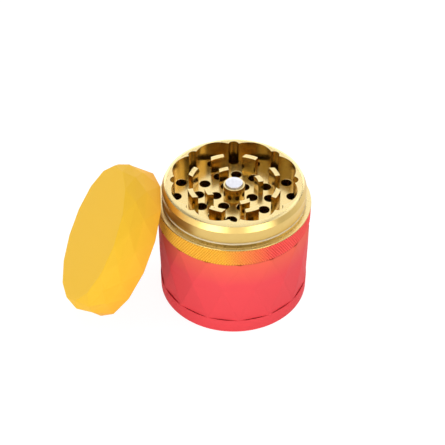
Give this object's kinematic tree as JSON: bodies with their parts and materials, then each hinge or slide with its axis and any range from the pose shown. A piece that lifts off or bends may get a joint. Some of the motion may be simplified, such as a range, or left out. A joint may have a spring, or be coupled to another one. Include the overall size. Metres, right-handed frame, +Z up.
{
  "type": "herb grinder",
  "caption": "Hand-turned metal herb grinder with faceted screwed sections, toothed grinding chamber, sieve and collecting cup; its magnetic lid is off and leans on the body.",
  "frame": {"origin": "centre of the base's underside, on the body's axis", "axes": "+Z up along the body's axis; the lid leans on the -X side, in the XZ plane"},
  "size_m": [0.1049, 0.063, 0.0597],
  "materials": {
    "red_coat": "satin",
    "yellow_coat": "satin",
    "gold_plate": "satin",
    "steel_mesh": "satin",
    "nickel_plate": "polished",
    "nylon": "satin"
  },
  "bodies": {
    "base": {"base_cup": "red_coat"},
    "sieve": {"sieve_screen": "steel_mesh", "sieve_ring": "gold_plate"},
    "storage": {"storage_chamber": "red_coat"},
    "chamber_core": {"chamber_magnet": "nickel_plate"},
    "chamber": {"grinding_chamber": "gold_plate", "glide_ring": "nylon"},
    "lid_core": {"lid_magnet": "nickel_plate"},
    "lid": {"lid": "yellow_coat"}
  },
  "joints": [
    {"name": "storage_rise", "type": "slide", "parent": "base", "child": "sieve", "axis": [0, 0, 1], "range_m": [0, 0.002]},
    {"name": "storage_unscrew", "type": "hinge", "parent": "sieve", "child": "storage", "pos_m": [0, 0, 0.0066], "axis": [0, 0, 1], "range_deg": [0, 720]},
    {"name": "chamber_rise", "type": "slide", "parent": "storage", "child": "chamber_core", "axis": [0, 0, 1], "range_m": [0, 0.002]},
    {"name": "chamber_unscrew", "type": "hinge", "parent": "chamber_core", "child": "chamber", "pos_m": [0, 0, 0.0375], "axis": [0, 0, 1], "range_deg": [0, 720]},
    {"name": "lid_lift", "type": "slide", "parent": "base", "child": "lid_core", "axis": [-0.8563, 0, 0.5165], "range_m": [0, 0.06]},
    {"name": "lid_turn", "type": "hinge", "parent": "lid_core", "child": "lid", "pos_m": [-0.04577, 0, 0.02697], "axis": [-0.8563, 0, 0.5165], "continuous": true}
  ],
  "couplings": [
    {"joint": "storage_rise", "follows": "storage_unscrew", "m_per_rad": 0.00015915},
    {"joint": "chamber_rise", "follows": "chamber_unscrew", "m_per_rad": 0.00015915}
  ]
}
